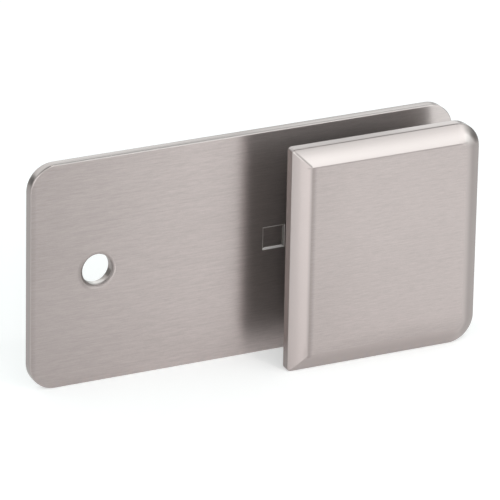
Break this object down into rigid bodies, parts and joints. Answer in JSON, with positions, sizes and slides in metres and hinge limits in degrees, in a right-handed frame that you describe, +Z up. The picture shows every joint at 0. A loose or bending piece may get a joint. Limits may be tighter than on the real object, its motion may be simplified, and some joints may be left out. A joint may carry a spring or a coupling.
{
  "type": "glass clamp",
  "caption": "Bevelled clamp plate drawn by a rear screw towards a long flat back plate to grip a glass panel, with a round fixing hole at the free end of the back plate.",
  "frame": {"origin": "centre of the fixing hole on the rear face of the back plate", "axes": "+X along the plates towards the clamp plate, +Y out of the rear face into the wall, +Z up"},
  "size_m": [0.1, 0.0166, 0.051],
  "materials": {
    "brushed_nickel": "brushed nickel plating on brass, grain along the plate",
    "screw_steel": "turned stainless steel",
    "gasket": "matt grey rubber"
  },
  "bodies": {
    "back_plate": {"back_plate": "brushed_nickel", "back_gasket": "gasket"},
    "clamp_plate": {"clamp_plate": "brushed_nickel", "front_gasket": "gasket"},
    "clamp_screw": {"clamp_screw": "screw_steel"}
  },
  "joints": [
    {"name": "screw_turn", "type": "hinge", "parent": "back_plate", "child": "clamp_screw", "pos_m": [0.0617, 0, 0], "axis": [0, 1, 0], "range_deg": [0, 1800]},
    {"name": "clamp_slide", "type": "slide", "parent": "back_plate", "child": "clamp_plate", "axis": [0, -1, 0], "range_m": [0, 0.004]}
  ],
  "couplings": [
    {"joint": "screw_turn", "follows": "clamp_slide", "rad_per_m": 7853.9}
  ]
}
